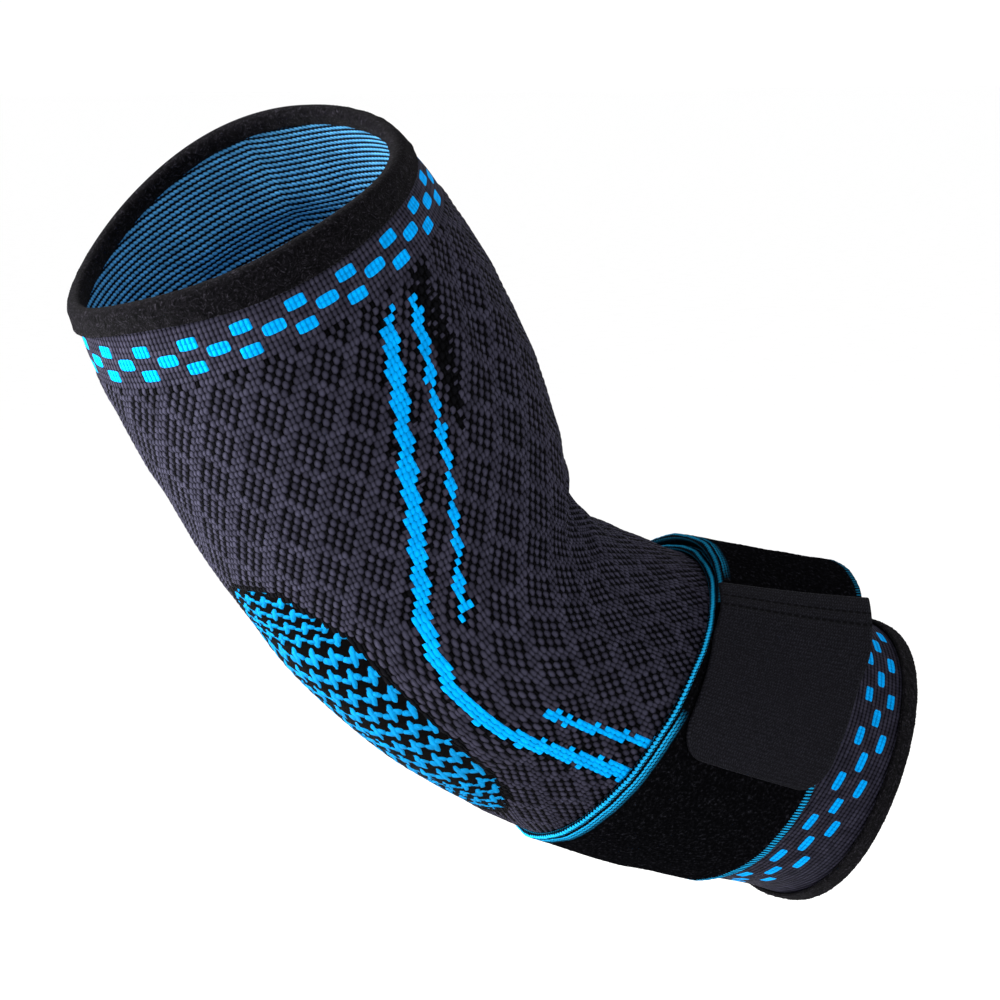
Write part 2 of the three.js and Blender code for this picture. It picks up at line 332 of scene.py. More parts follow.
sleeve = {
    "columns": 220,            # stitches round the arm
    "bodyStart": -98.5, "bodyEnd": 106, "bodyRows": 109,
    "upperTilt": 3, "lowerTilt": 11,       # how far the body's ends swing round the arm
    "upperCourse": 1.65, "upperPlain": 10, "upperHidden": 5,
    "lowerCourse": 1.45, "lowerPlain": 14, "lowerHidden": 5,
    "innerRows": 60, "rimSteps": 4,
    "wall": 2.0, "bodyRise": 0.35, "stitchRelief": 0.16, "blockRelief": 0.42,
    "innerCourse": 1.68,
    "girthRadius": 46, "noiseRadius": 45,   # mean radii that turn an angle into millimetres
    "foldTurn": 44, "foldDistance": -98,    # where the soft fold of the far wall bends
    "foldRidge": 0.8, "foldLip": 2.2, "foldCourses": 2.4, "foldSpread": 13,
}
blockSize, blockDrop = 5, 2        # raised blocks of the body pattern, counted along its two diagonals
yarnSunk, yarnBlack, yarnGrey, yarnAzure, starGround = -1.0, 0.0, 1.0, 2.0, 3.0

# Blue stripes on the outer side of the arm, the same on the inner side: distance, turn in degrees and
# half width in stitches
mainStripe = np.array([
    (-95, -86.5, 0.3), (-91, -91, 1.1), (-86, -94, 1.45), (-74, -99, 1.45), (-58, -107, 1.45),
    (-38, -115, 1.4), (-24, -122, 1.35), (-12, -129, 1.3), (-2, -133, 1.3), (8, -134, 1.35),
    (26, -130, 1.45), (41, -128, 1.45), (62, -125, 1.45),
])
secondStripe = np.array([
    (-92.5, -80, 0.8), (-87, -82, 1.0), (-76, -86, 0.75), (-61, -92, 0.6), (-44, -99, 0.55),
    (-32, -104, 0.55), (-20, -111, 0.6), (-13.5, -113, 1.0),
])
thirdStripe = np.array([(15, -119.5, 0.9), (28, -118, 0.6), (41, -115.5, 0.8), (62, -112, 0.8)])
# Stitches turned black along a dark line: partly black knit, partly painted shade of a crease; distance, turn
# and half width
blackLineAndCreaseShade = np.array([(-96, -74, 2.2), (-89, -76, 2.6), (-78, -78.5, 2.1), (-66, -82, 1.4), (-54, -87, 0.6)])
elbowPatch = {"middle": -1, "halfLength": 36, "halfTurn": 31, "edging": 0.07}
# Dashes of the welts, in three staggered rows: how many go round, where the first lies, share of blue
upperDashes = {"rows": (1, 3, 5), "round": 20, "phase": 0.73, "share": 0.42}
lowerDashes = {"rows": (5, 8, 11), "round": 19, "phase": 0.54, "share": 0.42}


def bodyEdges(turn):
    # Where the patterned body starts and ends: each end swings towards its cuff on one side of the arm
    start = sleeve["bodyStart"] - sleeve["upperTilt"] * np.maximum(0, -np.cos(turn))
    return start, sleeve["bodyEnd"] + sleeve["lowerTilt"] * (0.5 + 0.5 * np.cos(turn)) ** 2


# Rows of points of the outer face, from cuff to cuff; a stitch of the body takes two
marks = np.cumsum([0, sleeve["upperHidden"], sleeve["upperPlain"], 2 * sleeve["bodyRows"],
                   sleeve["lowerPlain"], sleeve["lowerHidden"]])


def outerDistance(row, turn):
    # Distance along the arm of a row of points, straight lines between the marks
    start, end = bodyEdges(turn)
    places = [edgeDistance(turn, False), start - sleeve["upperPlain"] * sleeve["upperCourse"], start, end,
              end + sleeve["lowerPlain"] * sleeve["lowerCourse"], edgeDistance(turn, True)]
    distance = places[0] + 0 * row
    for k in range(5):
        share = np.clip((row - marks[k]) / (marks[k + 1] - marks[k]), 0, 1)
        distance = distance + share * (places[k + 1] - places[k])
    return distance


def stitchPlace(row, turn):
    # Stitches from the start of the body: minus in the upper welt, past bodyRows in the lower one
    start, end = bodyEdges(turn)
    distance = outerDistance(row, turn)
    inBody = np.clip((row - marks[2]) / 2, 0, sleeve["bodyRows"])
    return (inBody + np.minimum(0, distance - start) / sleeve["upperCourse"]
            + np.maximum(0, distance - end) / sleeve["lowerCourse"])


def inStripe(path, distance, turn, extra):
    # True within the path's half width of its line, both sides of the arm alike
    line = np.radians(np.interp(distance, path[:, 0], path[:, 1]))
    half = np.interp(distance, path[:, 0], path[:, 2]) + extra
    away = (-np.abs(turn) - line) / (2 * np.pi / sleeve["columns"])
    return (distance >= path[0, 0]) & (distance <= path[-1, 0]) & (np.abs(away) <= half)


def patchReach(distance, turn):
    # Ellipse round the elbow point: below 1 is inside the patch
    along = (distance - elbowPatch["middle"]) / elbowPatch["halfLength"]
    return np.hypot(along, (np.pi - np.abs(turn)) / np.radians(elbowPatch["halfTurn"]))


def bodyChart(column, row, distance, turn):
    # Every other stitch is grey throughout. The ones between are black inside the blocks of the pattern
    # and grey in the strips that part them; the blocks are counted along the two diagonals.
    even = (column + row) % 2 == 0
    first, second = (column + row) // 2, (row - column) // 2
    shifted = second + blockDrop * ((first // blockSize) % 2)
    strip = (first % blockSize == blockSize - 1) | (shifted % blockSize == blockSize - 1)
    yarn = np.where(even | strip, yarnGrey, yarnBlack)
    fleck = np.random.default_rng(11).random(yarn.shape)
    yarn[inStripe(mainStripe, distance, turn, 1.2) & (fleck < 0.35)] = yarnBlack
    # black stitches along the dark line: partly black knit, partly painted crease shade
    yarn[inStripe(blackLineAndCreaseShade, distance, turn, 0) & (fleck < 0.85)] = yarnBlack
    for path in (mainStripe, secondStripe, thirdStripe):        # every other stitch juts out at the edge
        yarn[inStripe(path, distance, turn, 0.5 * even)] = yarnAzure
    reach = patchReach(distance, turn)
    yarn[reach < 1 + elbowPatch["edging"]] = yarnBlack
    yarn[reach < 1] = starGround
    # A black stitch with grey ones on all four sides sinks, and they swell over it. A stitch is two
    # faces long.
    beside = [np.roll(yarn, step, axis) == yarnGrey for step, axis in ((1, 1), (-1, 1), (2, 0), (-2, 0))]
    yarn[(yarn == yarnBlack) & np.all(beside, 0)] = yarnSunk
    return yarn


def dashChart(column, course, dashes):
    # Blue where a stitch falls within a dash: two courses high, every other row shifted by half. The
    # place in the dash is counted from its middle, in half lengths and in courses.
    yarn = np.full(column.shape, yarnGrey)
    place = np.zeros(column.shape + (2,))
    for k, first in enumerate(dashes["rows"]):
        phase = (column + 0.5) * dashes["round"] / sleeve["columns"] - 0.5 * dashes["round"]
        away = ((phase - dashes["phase"] - 0.5 * k + 0.5) % 1 - 0.5) / (dashes["share"] / 2)
        inside = (course >= first) & (course < first + 2) & (np.abs(away) < 1)
        yarn[inside] = yarnAzure
        place[inside] = np.stack([away, course - first - 0.5], -1)[inside]
    return yarn, place


def innerFold(distance, turn):
    # A soft fold of the far wall: a bell shaped ridge down from the rim, and across its foot a lip that
    # swells for 14 mm and drops within 2.5 mm
    across = (turn - np.radians(sleeve["foldTurn"])) * sleeve["girthRadius"]
    foot = sleeve["foldDistance"]
    down = np.exp(-((across / 5) ** 2)) * smoothStep(distance, foot - 24, foot - 8)
    down = down * (1 - smoothStep(distance, foot - 2, foot))
    lip = smoothStep(distance, foot - 14, foot - 0.5) * (1 - smoothStep(distance, foot, foot + 2.5))
    lip = lip * smoothStep(across, -20, -10) * (1 - smoothStep(across, 24, 38))
    return sleeve["foldRidge"] * down + sleeve["foldLip"] * lip


def foldPull(distance, turn):
    # Courses that the fold pulls down on its crook side: 1 - exp of the angle past its line, faded out
    # behind and below
    past = np.maximum(0, np.radians(sleeve["foldTurn"]) - turn)
    fade = smoothStep(turn, np.radians(-90), np.radians(-30)) * (1 - smoothStep(distance, -84, -60))
    return sleeve["foldCourses"] * (1 - np.exp(-past / np.radians(sleeve["foldSpread"]))) * fade


def buildSleeve():
    columns, outerRows = sleeve["columns"], marks[-1]
    turn = -np.pi + np.arange(columns)[None, :] * 2 * np.pi / columns
    row = np.arange(outerRows + 1)[:, None]
    distance = outerDistance(row, turn)

    # Yarn of each face of the outer skin
    c = np.arange(columns)[None, :] + np.zeros((outerRows, 1), int)
    r = np.arange(outerRows)[:, None] + 0 * c
    j = np.clip((r - marks[2]) // 2, 0, sleeve["bodyRows"] - 1)
    faceTurn = -np.pi + (c + 0.5) * 2 * np.pi / columns
    yarn = bodyChart(c, j, outerDistance(marks[2] + 2 * j + 1, faceTurn), faceTurn)
    upperYarn, upperPlace = dashChart(c, marks[2] - 1 - r, upperDashes)
    lowerYarn, lowerPlace = dashChart(c, r - marks[3], lowerDashes)
    yarn[:marks[2]], yarn[marks[3]:] = upperYarn[:marks[2]], lowerYarn[marks[3]:]

    # Relief: each row of stitches is a ridge, the black blocks sink, the welts are thinner
    inBody = smoothStep(distance, bodyEdges(turn)[0] - 1, bodyEdges(turn)[0] + 2)
    inBody = inBody * (1 - smoothStep(distance, bodyEdges(turn)[1] - 2, bodyEdges(turn)[1] + 1))
    block = np.where((yarn == yarnGrey) | (yarn == yarnAzure), 1.0, -0.6)
    block = np.vstack([block, block[-1:]])
    for axis in (0, 1):        # spreads each stitch's part of the relief over its neighbours
        for _ in range(4):
            block = (np.roll(block, 1, axis) + 2 * block + np.roll(block, -1, axis)) / 4
    ridge = np.where((row - marks[2]) % 2 == 1, 1.0, -1.0)
    swell = 0.25 * softNoise(distance, turn * sleeve["noiseRadius"], 5, 38)
    offset = sleeve["bodyRise"] * (inBody - 1) - foldDepth(distance, turn) + swell
    offset = offset + inBody * (sleeve["stitchRelief"] * ridge + sleeve["blockRelief"] * (block - 0.4))
    rowsOut = armPoint(distance, turn, offset)

    upperEdge, lowerEdge = edgeDistance(turn, False), edgeDistance(turn, True)
    middle = -sleeve["bodyRise"] - sleeve["wall"] / 2

    def rim(lower):
        # Half round edge between the two faces
        steps = np.arange(1, sleeve["rimSteps"])[:, None] * np.pi / sleeve["rimSteps"]
        sign, edge = (1, lowerEdge) if lower else (-1, upperEdge)
        place = edge + sign * np.sin(steps) * sleeve["wall"] / 2
        return armPoint(place, turn + 0 * steps, middle + sign * np.cos(steps) * sleeve["wall"] / 2)

    share = np.linspace(1, 0, sleeve["innerRows"] + 1)[:, None]
    innerDistance = upperEdge + (lowerEdge - upperEdge) * share
    innerOffset = -sleeve["bodyRise"] - sleeve["wall"] - foldDepth(innerDistance, turn)
    innerOffset = innerOffset + 0.3 * softNoise(innerDistance, turn * sleeve["noiseRadius"], 8, 30)
    innerOffset = innerOffset - innerFold(innerDistance, turn)
    rowsIn = armPoint(innerDistance, turn, innerOffset)
    grid = np.concatenate([rowsOut, rim(True), rowsIn, rim(False)])
    piece = meshObject("knitSleeve", grid.reshape(-1, 3), gridQuads(len(grid), columns, True, True))

    # Place of each face's corners, counted in stitches: round the arm, then along it
    along = np.zeros((len(grid) + 1, columns + 1))
    wrapped = np.hstack([turn, turn[:, :1] + 2 * np.pi])
    along[:outerRows + 1] = stitchPlace(row, wrapped)
    firstInner = outerRows + sleeve["rimSteps"]
    innerPlace = innerDistance / sleeve["innerCourse"] - foldPull(innerDistance, turn)
    along[firstInner:firstInner + len(share)] = np.hstack([innerPlace, innerPlace[:, :1]])
    places = np.zeros((len(grid), columns, 4, 3))
    for k, (dr, dc) in enumerate(cornerSteps):
        places[..., k, 0] = np.arange(columns) + dc
        places[..., k, 1] = along[dr:len(grid) + dr, dc:columns + dc]
    setLayer(piece, "stitch", places, "CORNER")

    # Place of the corners in the welts' dashes, for their round ends
    dashPlaces = np.zeros((len(grid), columns, 4, 3))
    for chart, place, rows, sign, dashes in (
            (upperYarn, upperPlace, slice(0, marks[2]), -1, upperDashes),
            (lowerYarn, lowerPlace, slice(marks[3], outerRows), 1, lowerDashes)):
        blue = chart[rows] == yarnAzure
        stitchShare = dashes["round"] / columns / (dashes["share"] / 2)      # of half a dash
        for k, (dr, dc) in enumerate(cornerSteps):
            dashPlaces[rows, :, k, 0] = (place[rows][..., 0] + (dc - 0.5) * stitchShare) * blue
            dashPlaces[rows, :, k, 1] = (place[rows][..., 1] + (dr - 0.5) * sign) * blue
    setLayer(piece, "dash", dashPlaces, "CORNER")
    faceYarn = np.full((len(grid), columns), yarnGrey)
    faceYarn[:outerRows] = yarn
    setLayer(piece, "yarn", faceYarn, "FACE")
    inside = np.arange(len(grid))[:, None] + 0 * np.arange(columns) >= outerRows
    piece.data.polygons.foreach_set("material_index", inside.astype(np.int32).ravel())
    return piece


def domeHeight(tree, place, size, slant=(0, 0)):
    # Height of an oval dome about the middle of a unit square: 1 less the squared distance from it in
    # units of its half size; slant shears it along each axis
    parts = splitParts(tree, place)
    across = calc(tree, "MULTIPLY_ADD", parts[1], slant[0], parts[0])
    upright = calc(tree, "MULTIPLY_ADD", parts[0], slant[1], parts[1])
    scaled = joinParts(tree, across, upright)
    scaled = calcVector(tree, "MULTIPLY", scaled, (1 / size[0], 1 / size[1], 0))
    square = dotProduct(tree, scaled, scaled)
    return calc(tree, "SUBTRACT", 1.0, square)


def unitSquare(tree, place):
    # Place within a unit square, from its middle
    place = calcVector(tree, "FRACTION", place)
    return calcVector(tree, "SUBTRACT", place, (0.5, 0.5, 0))


def chequerPlace(tree, stitch, move):
    # Place from the middle of the nearest stitch of one kind of a chequerboard, and that stitch's own
    # number: turned onto the diagonals, cut into unit squares, and turned back
    tilt, shrink = np.pi / 4, 0.5**0.5
    diagonal = addNode(tree, "Mapping", {"Vector": stitch, "Location": move, "Rotation": (0, 0, -tilt),
                                         "Scale": (shrink, shrink, 1)})
    place = addNode(tree, "Mapping", {"Vector": unitSquare(tree, diagonal), "Rotation": (0, 0, tilt),
                                      "Scale": (1 / shrink, 1 / shrink, 1)})
    return place, calcVector(tree, "FLOOR", diagonal)


# Stars of the elbow patch: middle, half sizes and slants of an upright stroke and of an arm on each side
starStrokes = (
    (0.0, 0.0, 0.175, 0.5, -0.42, 0),
    (0.24, -0.07, 0.29, 0.14, 0, -0.3),
    (-0.24, 0.13, 0.29, 0.14, 0, -0.3),
)
starRound, starSwing = 41, -2      # stars round the arm, and how many rows of them a round climbs
starLean, starRows = 0.3666, 0.4342    # stars shifted, and rows of them climbed, for each stitch along


def starHeight(tree, stitch):
    # The highest of the strokes' domes, on a leaning lattice of one star to 5.2 by 2.3 stitches
    first = (starRound / sleeve["columns"], starLean, 0)
    second = (starSwing / sleeve["columns"], starRows, 0)
    dots = [dotProduct(tree, stitch, way)
            for way in (first, second)]
    cell = unitSquare(tree, joinParts(tree, dots[0], dots[1]))
    height = -1.0
    for x, y, wide, long, slantAcross, slantUp in starStrokes:
        place = calcVector(tree, "SUBTRACT", cell, (x, y, 0))
        dome = domeHeight(tree, place, (wide, long), (slantAcross, slantUp))
        height = calc(tree, "MAXIMUM", dome, height)
    return height


# Nylon covered rubber knit, dyed dark grey with bright blue inlays: round yarn beads with a dull sheen,
# dark in between partly because the ground yarn is black and partly from painted shade, with a painted
# highlight on each crest
def knitOutsideMaterial():
    material, tree = startMaterial("compressionKnitFace")
    stitch = readLayer(tree, "stitch")
    yarn = readLayer(tree, "yarn", "Fac")
    parts = splitParts(tree, stitch)
    isBlack = calc(tree, "LESS_THAN", yarn, 0.5)
    isStar = calc(tree, "GREATER_THAN", yarn, 2.5)
    isBlue = calc(tree, "GREATER_THAN", yarn, 1.5)
    # The body's stitches lie like a chequerboard: a large bead on every other place, each a little off,
    # and a small one between them, sunk where it is black. The welts' stitches lie in plain rows.
    place, number = chequerPlace(tree, stitch, (0, 0.5, 0))
    offPlace = addNode(tree, "TexWhiteNoise", {"Vector": number}, noise_dimensions="3D").node.outputs["Color"]
    offPlace = calcVector(tree, "MULTIPLY_ADD", offPlace, (0.16, 0.16, 0), (-0.08, -0.08, 0))
    place = calcVector(tree, "ADD", place, offPlace)
    large = domeHeight(tree, place, (0.62, 0.64), (0.16, 0))
    place, betweenNumber = chequerPlace(tree, stitch, (0.5, 0, 0))
    small = domeHeight(tree, place, (0.46, 0.58), (0.16, 0))
    small = calc(tree, "MULTIPLY_ADD", isBlack, -0.5, small)
    isLarge = calc(tree, "GREATER_THAN", large, small)
    inBody = calc(tree, "COMPARE", parts[1], sleeve["bodyRows"] / 2, sleeve["bodyRows"] / 2)
    # The upper welt shows its columns, the lower one its courses
    square = unitSquare(tree, stitch)
    isLower = calc(tree, "GREATER_THAN", parts[1], sleeve["bodyRows"] / 2)
    plain = mixValue(tree, isLower, domeHeight(tree, square, (0.5, 0.68), (0.12, 0)),
                     domeHeight(tree, square, (0.74, 0.5), (0.1, 0)))
    bead = calc(tree, "MAXIMUM", large, small)
    bead = mixValue(tree, inBody, plain, bead)
    star = calc(tree, "MULTIPLY_ADD", bead, 0.2, starHeight(tree, stitch))
    height = mixValue(tree, isStar, bead, star)
    height = calc(tree, "MAXIMUM", height, -0.5)
    yarnStops = [(0, "#08080b"), (0.15, "#2b2a36"), (0.4, "#009cef"), (0.65, "#0470a6")]
    color = rampColor(tree, calc(tree, "MULTIPLY", yarn, 0.25), yarnStops, "CONSTANT")
    # Grey swells over the sunk stitches, and cuts the corners of the dashes: x^4 + y^4 above 0.85
    dash = readLayer(tree, "dash")
    dash = calcVector(tree, "MULTIPLY", dash, dash)
    corner = dotProduct(tree, dash, dash)
    corner = scaleRange(tree, corner, 0.8, 0.95)
    overSunk = calc(tree, "LESS_THAN", yarn, -0.5)
    turnsGrey = calc(tree, "MULTIPLY_ADD", overSunk, isLarge, corner)
    color = mixColor(tree, turnsGrey, color, linearColor("#2b2a36"))
    inStar = calc(tree, "GREATER_THAN", star, 0.02)
    ground = calc(tree, "MULTIPLY", isStar, calc(tree, "SUBTRACT", 1.0, inStar))
    color = mixColor(tree, ground, color, linearColor("#060608"))
    rise = scaleRange(tree, height, -0.5, 1.0)
    inDash = calc(tree, "SUBTRACT", isBlue, inBody)
    filled = calc(tree, "MULTIPLY", inDash, 0.4)      # no painted shade in the gaps of a dash
    rise = calc(tree, "MAXIMUM", rise, filled)
    # Painted shade in the gaps between beads and a painted highlight on their crests, set by the height
    greyPaintedShadeAndHighlight = rampColor(tree, rise, [(0.0, 0.1), (0.3, 0.22), (0.55, 0.75), (0.8, 1.15), (1.0, 1.35)])
    bluePaintedShadeAndHighlight = rampColor(tree, rise, [(0.0, 0.12), (0.15, 0.3), (0.32, 0.75), (0.55, 0.97), (1.0, 1.06)])
    shade = mixColor(tree, isBlue, greyPaintedShadeAndHighlight, bluePaintedShadeAndHighlight)
    number = addNode(tree, "Mix", {"Factor": isLarge, 4: betweenNumber, 5: number}, data_type="VECTOR")
    number = number.node.outputs[1]
    each = addNode(tree, "TexWhiteNoise", {"Vector": number}, noise_dimensions="3D")
    each = addNode(tree, "MapRange", {0: each, 3: 0.75, 4: 1.25})
    paintedWristShade = scaleRange(tree, parts[1], 50.0, 115.0, 1.0, 0.68)   # painted shade, darker towards the wrist, away from the key light
    each = calc(tree, "MULTIPLY", each, paintedWristShade)
    calm = scaleRange(tree, each, 0.5, 1.25, 0.86, 1.06)
    each = mixValue(tree, isBlue, each, calm)
    place = objectPlace(tree)
    mottle = noiseAt(tree, place, 240.0, 3.0)   # 4 mm patches
    mottle = scaleRange(tree, mottle, 0.3, 0.7, 0.85, 1.12)
    mottle = calc(tree, "MULTIPLY", mottle, each)
    shade = mixColor(tree, 1.0, shade, mottle, "MULTIPLY")
    color = mixColor(tree, 1.0, color, shade, "MULTIPLY")
    fibre = noiseAt(tree, place, 2600.0, 2.0)   # 0.4 mm filaments
    height = calc(tree, "MULTIPLY_ADD", fibre, 0.18, height)
    bump = addBump(tree, height, 0.0005, 0.9)
    addSurface(tree, color, 0.7, 0.01, {"Normal": bump})
    return material


# Inside of the same knit: thin blue floats lie in rows over the black ground, twisted so that their lower
# edge is toothed
def knitInsideMaterial():
    material, tree = startMaterial("compressionKnitBack")
    stitch = readLayer(tree, "stitch")
    floatDome = domeHeight(tree, unitSquare(tree, stitch), (0.6, 0.38), (0.9, 0))
    rise = scaleRange(tree, floatDome, -0.6, 1.0)
    # Black ground and blue floats; each float lightens towards its crest, a painted highlight
    color = rampColor(tree, rise, [(0.0, "#0b0c0f"), (0.3, "#141a20"), (0.46, "#3a6f96"), (0.8, "#58a6da")])
    place = objectPlace(tree)
    mottle = noiseAt(tree, place, 300.0, 3.0)
    mottle = scaleRange(tree, mottle, 0.3, 0.7, 0.75, 1.15)
    color = mixColor(tree, 1.0, color, mottle, "MULTIPLY")
    bump = addBump(tree, floatDome, 0.0003, 0.8)
    addSurface(tree, color, 0.8, 0.03, {"Normal": bump})
    return material


sleevePiece = buildSleeve()
sleevePiece.data.materials.append(knitOutsideMaterial())
sleevePiece.data.materials.append(knitInsideMaterial())
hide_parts("knit_sleeve")
print("sleeve knitted", len(sleevePiece.data.polygons))

# Bindings of plush elastic, folded over each edge

binding = {
    "thickness": 1.0, "gap": 0.3,
    "upperLeg": 3.8, "nearLeg": 3.6, "nearLegTurn": -100,   # its outer leg is widest on the near side
    "lowerLeg": 4.0, "innerLeg": 2.5,
    "arcSteps": 12, "legSteps": 8, "columns": 480,
    "lump": 0.08, "ribPitch": 1.15, "ribDepth": 0.09, "radius": 47,
}


def buildBinding(name, lower):
    # A U carried round the edge: down the outer leg, round the hem, back under, with a half round fold
    turn = -np.pi + np.arange(binding["columns"])[None, :] * 2 * np.pi / binding["columns"]
    near = sleeve["wall"] / 2 + binding["gap"]
    far = near + binding["thickness"]
    middle, hem = (near + far) / 2, binding["thickness"] / 2
    legs = np.linspace(1, 0, binding["legSteps"] + 1)[:-1]
    fold = np.linspace(0, np.pi, binding["arcSteps"] + 1)
    hemAngle = np.linspace(0, np.pi, 6)[1:-1]
    # Share of the outer leg, share of the inner leg, further along, and out from the middle of the wall
    rows = [(leg, 0, 0, far) for leg in legs]
    rows += [(0, 0, -far * np.sin(a), far * np.cos(a)) for a in fold]
    rows += [(0, leg, 0, -far) for leg in legs[::-1]]
    rows += [(0, 1, hem * np.sin(a), -middle - hem * np.cos(a)) for a in hemAngle]
    rows += [(0, leg, 0, -near) for leg in legs]
    rows += [(0, 0, -near * np.sin(a), near * -np.cos(a)) for a in fold]
    rows += [(leg, 0, 0, near) for leg in legs[::-1]]
    rows += [(1, 0, hem * np.sin(a), middle - hem * np.cos(a)) for a in hemAngle]
    rows = np.array(rows)
    if lower:
        leg = binding["lowerLeg"] + 0 * turn
    else:
        nearShare = lobe(turn, binding["nearLegTurn"], 3)
        leg = binding["upperLeg"] + binding["nearLeg"] * nearShare
    along = rows[:, :1] * leg + rows[:, 1:2] * binding["innerLeg"] + rows[:, 2:3]
    out = rows[:, 3:4]
    lump = binding["lump"] * softNoise(turn * binding["radius"] + 0 * along, along + 3 * out, 21 + lower, 4)
    rib = binding["ribDepth"] * np.sin(turn * binding["radius"] * 2 * np.pi / binding["ribPitch"])
    swell = (lump + rib) * np.sign(out) * (np.abs(out) > near + 0.1)
    sign = -1 if lower else 1
    outerFace = -sleeve["bodyRise"] - sleeve["wall"] / 2
    grid = armPoint(edgeDistance(turn, lower) + sign * along, turn, outerFace + out + swell)
    quads = gridQuads(len(grid), binding["columns"], True, True)
    return faceOut(meshObject(name, grid.reshape(-1, 3), quads))


# Brushed nylon elastic: a soft black nap that scatters a little light at its edge. The nap is short
# streaks that lean every way.
def plushMaterial():
    material, tree = startMaterial("brushedPlushElastic")
    place = objectPlace(tree)
    warp = noiseAt(tree, place, 260.0, 2.0).node.outputs["Color"]
    bent = calcVector(tree, "MULTIPLY_ADD", warp, (0.006, 0.006, 0.006), place)
    streaks = noiseAt(tree, bent, 1500.0, 4.0, 0.7)
    clumps = noiseAt(tree, bent, 420.0, 3.0)
    color = rampColor(tree, streaks, [(0.4, "#050506"), (0.56, "#100f12"), (0.66, "#29272d"),
                                      (0.78, "#3c3942")])
    height = calc(tree, "MULTIPLY_ADD", clumps, 0.7, streaks)
    bump = addBump(tree, height, 0.0006, 0.7)
    addSurface(tree, color, 0.95, 0.0, {"Normal": bump, "Sheen Weight": 0.02, "Sheen Roughness": 0.5})
    return material


plush = plushMaterial()
for pieceName, nodeName, isLower, flatWidth in (("upperBinding", "upper_cuff_binding", False, 0.0135),
                                                ("lowerBinding", "lower_cuff_binding", True, 0.012)):
    edging = buildBinding(pieceName, isLower)
    edging.data.materials.append(plush)
    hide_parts(nodeName)
print("bindings folded over the edges")

# Strap of loop webbing

strap = {
    "width": 50, "toEdge": 32, "slant": 11, "slantTurn": 45, "thickness": 1.8,
    "firstEnd": 24, "overlap": 80, "rise": 24, "riseClear": 3,
    "looseTurn": -20, "looseLift": 1.2, "looseFlare": 7.6, "looseFocus": 3, "gap": 0.3,
    "spread": 10, "spreadTurn": -138, "spreadFocus": 2,    # pulled wider under the arm
    "steps": 440, "across": 50, "edgeSteps": 6, "bow": 0.14, "loops": 0.08,
    "endRadius": 47, "threadRadius": 44, "noiseStep": 0.75,     # mm for a radian, a radian and a degree
    "threadLength": 1.1, "threadRow": 0.9, "combPitch": 0.95,
    "hiddenBands": ((74.0, 24.0), (340.0, 14.0)), "hiddenFade": 3,      # middle and half length
}
strapLayer = strap["thickness"] + strap["gap"]
strapTravel = 360 + strap["overlap"]
strapMiddle = armForm["lowerLength"] - strap["toEdge"] - strap["width"] / 2


def strapLift(travel, share):
    # Height of the inner face over the knit: up by a layer over the start, loose at the top
    turn = np.radians(strap["firstEnd"] - travel)
    second = smoothStep(travel, 360 - strap["rise"], 360 - strap["riseClear"])
    top = lobe(turn, strap["looseTurn"], strap["looseFocus"])
    slack = strap["looseFlare"] * share * top
    return strap["gap"] + strapLayer * second + slack + strap["looseLift"] * top * second


def strapPoint(travel, share, height, width, skew=0.0):
    # Place at a travelled angle in degrees and a share of the width from the elbow side
    turn = np.radians(strap["firstEnd"] - travel)
    middle = strapMiddle + strap["slant"] * np.cos(turn - np.radians(strap["slantTurn"]))
    return armPoint(middle + skew + (share - 0.5) * width, turn, height)


def slabSection(width, thickness, across, edgeSteps):
    # Closed section of a flat slab with half round edges: shares of the width, and heights within +-1
    inset = thickness / 2 / width
    flat = np.linspace(inset, 1 - inset, across)
    arc = np.linspace(0, np.pi, edgeSteps + 2)[1:-1]
    share = np.concatenate([flat, 1 - inset + inset * np.sin(arc), flat[::-1], inset - inset * np.sin(arc)])
    height = np.concatenate([np.ones(across), np.cos(arc), -np.ones(across), -np.cos(arc)])
    return share, height


def buildStrap():
    share, height = slabSection(strap["width"], strap["thickness"], strap["across"], strap["edgeSteps"])
    half = strap["thickness"] / 2
    ends = np.degrees(half / strap["endRadius"])      # travel over which an end rounds off
    inner = np.linspace(ends, strapTravel - ends, strap["steps"])
    arc = np.sin(np.linspace(0, np.pi / 2, 5))[:-1]
    travel = np.concatenate([ends - ends * arc[::-1], inner, strapTravel - ends + ends * arc])
    travel = np.unique(np.concatenate([[0], travel, [strapTravel]]))[:, None]
    away = np.clip(np.minimum(travel, strapTravel - travel) / ends, 0, 1)
    thick = half * np.sqrt(np.clip(1 - (1 - away) ** 2, 0, 1))
    place = travel * strap["noiseStep"], share * strap["width"]
    bow = strap["bow"] * softNoise(*place, 31, 14) * away
    bow = bow + strap["loops"] * softNoise(*place, 33, 2.6) * away
    lift = strapLift(travel, np.clip(share, 0, 1)) + half + thick * height + bow * (height > 0)
    turn = np.radians(strap["firstEnd"] - travel)
    spread = lobe(turn, strap["spreadTurn"], strap["spreadFocus"])
    spread = spread * strap["spread"]
    grid = strapPoint(travel, share, lift, strap["width"] + spread, spread / 2)
    piece = meshObject("forearmStrap", grid.reshape(-1, 3), gridQuads(*grid.shape[:2], False, True))
    along = travel * np.pi / 180 * strap["threadRadius"]
    setLayer(piece, "web", np.stack(np.broadcast_arrays(along, share * strap["width"], height), -1))
    return faceOut(piece)


